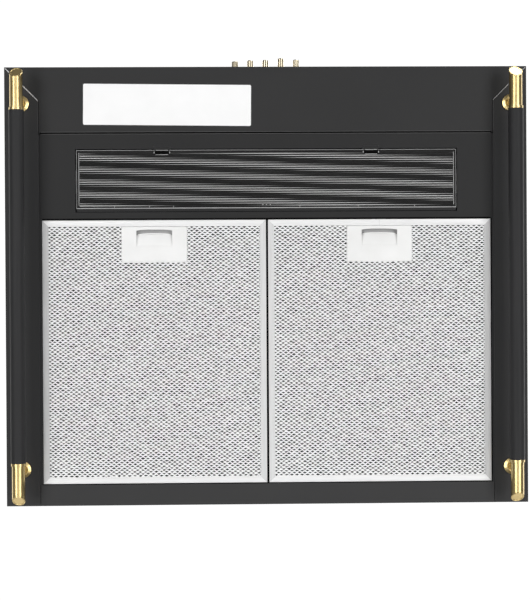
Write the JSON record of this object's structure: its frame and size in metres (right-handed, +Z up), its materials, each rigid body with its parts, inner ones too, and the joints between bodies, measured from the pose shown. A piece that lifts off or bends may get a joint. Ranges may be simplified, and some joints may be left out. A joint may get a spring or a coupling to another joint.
{
  "type": "chimney range hood",
  "caption": "Wall-mounted chimney range hood with grease filters, ribbed lamp cover, brass push-buttons and black side rails with brass ends.",
  "frame": {"origin": "on the wall plane, at the middle of the rim's rear lower edge", "axes": "+Z up, +Y into the wall, -Y to the front, +X to the right seen from the front"},
  "size_m": [0.6, 0.5181, 0.7535],
  "materials": {
    "charcoal_paint": "satin charcoal coating",
    "black_gloss": "gloss black lacquer",
    "brass": "turned, polished",
    "aluminium": "folded frame and expanded mesh",
    "latch_white": "silver-white painted",
    "spring_steel": "bright spring steel",
    "clear_plastic": "clear, ribbed",
    "zinc_steel": "zinc-plated sheet",
    "lamp_ceramic": "plain",
    "lamp_glass": "frosted",
    "black_plastic": "moulded",
    "white_plastic": "moulded can"
  },
  "bodies": {
    "hood": {"back_panel": "charcoal_paint", "blower_plate": "zinc_steel", "body_screws": "zinc_steel", "cable_gland": "black_plastic", "canopy": "charcoal_paint", "capacitor": "white_plastic", "capacitor_clip": "zinc_steel", "front_panel": "charcoal_paint", "inlet_guard": "black_plastic", "junction_box": "black_plastic", "junction_lid": "black_plastic", "lamp_panel": "charcoal_paint", "lamp_tray": "zinc_steel", "left_casing": "black_plastic", "left_lamp_bulb": "lamp_glass", "left_lamp_holder": "lamp_ceramic", "left_rail_front_end": "brass", "left_rail_grip": "black_gloss", "left_rail_rear_end": "brass", "left_side_panel": "charcoal_paint", "lower_chimney": "charcoal_paint", "motor": "zinc_steel", "motor_bracket": "zinc_steel", "outlet_collar": "black_plastic", "rail_posts": "brass", "rail_rosettes": "brass", "rail_screws": "zinc_steel", "right_casing": "black_plastic", "right_lamp_bulb": "lamp_glass", "right_lamp_holder": "lamp_ceramic", "right_rail_front_end": "brass", "right_rail_grip": "black_gloss", "right_rail_rear_end": "brass", "right_side_panel": "charcoal_paint", "switch_block": "black_plastic", "switch_bracket": "zinc_steel"},
    "fan": {"impeller": "black_plastic", "motor_shaft": "spring_steel"},
    "lamp_cover": {"lamp_cover": "clear_plastic"},
    "front_flap": {"front_flap": "black_plastic"},
    "rear_flap": {"rear_flap": "black_plastic"},
    "upper_chimney": {"upper_chimney": "charcoal_paint", "chimney_bracket": "zinc_steel", "bracket_screws": "zinc_steel"},
    "left_filter": {"left_filter_frame": "aluminium", "left_filter_mesh": "aluminium", "left_latch_housing": "latch_white"},
    "left_latch": {"left_latch_slide": "latch_white", "left_latch_tongue": "spring_steel"},
    "right_filter": {"right_filter_frame": "aluminium", "right_filter_mesh": "aluminium", "right_latch_housing": "latch_white"},
    "right_latch": {"right_latch_slide": "latch_white", "right_latch_tongue": "spring_steel"},
    "push_button_1": {"push_button_1": "brass"},
    "push_button_2": {"push_button_2": "brass"},
    "push_button_3": {"push_button_3": "brass"},
    "push_button_4": {"push_button_4": "brass"},
    "push_button_5": {"push_button_5": "brass"}
  },
  "joints": [
    {"name": "fan_spin", "type": "hinge", "parent": "hood", "child": "fan", "pos_m": [0, -0.105, 0.16], "axis": [1, 0, 0], "continuous": true},
    {"name": "lamp_cover_swing", "type": "hinge", "parent": "hood", "child": "lamp_cover", "pos_m": [0, -0.3411, 0.0028], "axis": [1, 0, 0], "range_deg": [0, 85]},
    {"name": "front_flap_swing", "type": "hinge", "parent": "hood", "child": "front_flap", "pos_m": [0, -0.14, 0.283], "axis": [-1, 0, 0], "range_deg": [0, 80]},
    {"name": "rear_flap_swing", "type": "hinge", "parent": "hood", "child": "rear_flap", "pos_m": [0, -0.132, 0.283], "axis": [1, 0, 0], "range_deg": [0, 80]},
    {"name": "chimney_slide", "type": "slide", "parent": "hood", "child": "upper_chimney", "axis": [0, 0, 1], "range_m": [0, 0.28]},
    {"name": "left_filter_swing", "type": "hinge", "parent": "hood", "child": "left_filter", "pos_m": [-0.12955, -0.0257, 0.0018], "axis": [1, 0, 0], "range_deg": [0, 70], "deforming": ["left_latch_tongue"]},
    {"name": "left_latch_pull", "type": "slide", "parent": "left_filter", "child": "left_latch", "axis": [0, 1, 0], "range_m": [0, 0.004], "stiffness_N_per_m": 400},
    {"name": "right_filter_swing", "type": "hinge", "parent": "hood", "child": "right_filter", "pos_m": [0.12955, -0.0257, 0.0018], "axis": [1, 0, 0], "range_deg": [0, 70], "deforming": ["right_latch_tongue"]},
    {"name": "right_latch_pull", "type": "slide", "parent": "right_filter", "child": "right_latch", "axis": [0, 1, 0], "range_m": [0, 0.004], "stiffness_N_per_m": 400},
    {"name": "push_button_1_press", "type": "slide", "parent": "hood", "child": "push_button_1", "axis": [0, 1, 0], "range_m": [0, 0.004], "stiffness_N_per_m": 600},
    {"name": "push_button_2_press", "type": "slide", "parent": "hood", "child": "push_button_2", "axis": [0, 1, 0], "range_m": [0, 0.004], "stiffness_N_per_m": 600},
    {"name": "push_button_3_press", "type": "slide", "parent": "hood", "child": "push_button_3", "axis": [0, 1, 0], "range_m": [0, 0.004], "stiffness_N_per_m": 600},
    {"name": "push_button_4_press", "type": "slide", "parent": "hood", "child": "push_button_4", "axis": [0, 1, 0], "range_m": [0, 0.004], "stiffness_N_per_m": 600},
    {"name": "push_button_5_press", "type": "slide", "parent": "hood", "child": "push_button_5", "axis": [0, 1, 0], "range_m": [0, 0.004], "stiffness_N_per_m": 600}
  ]
}
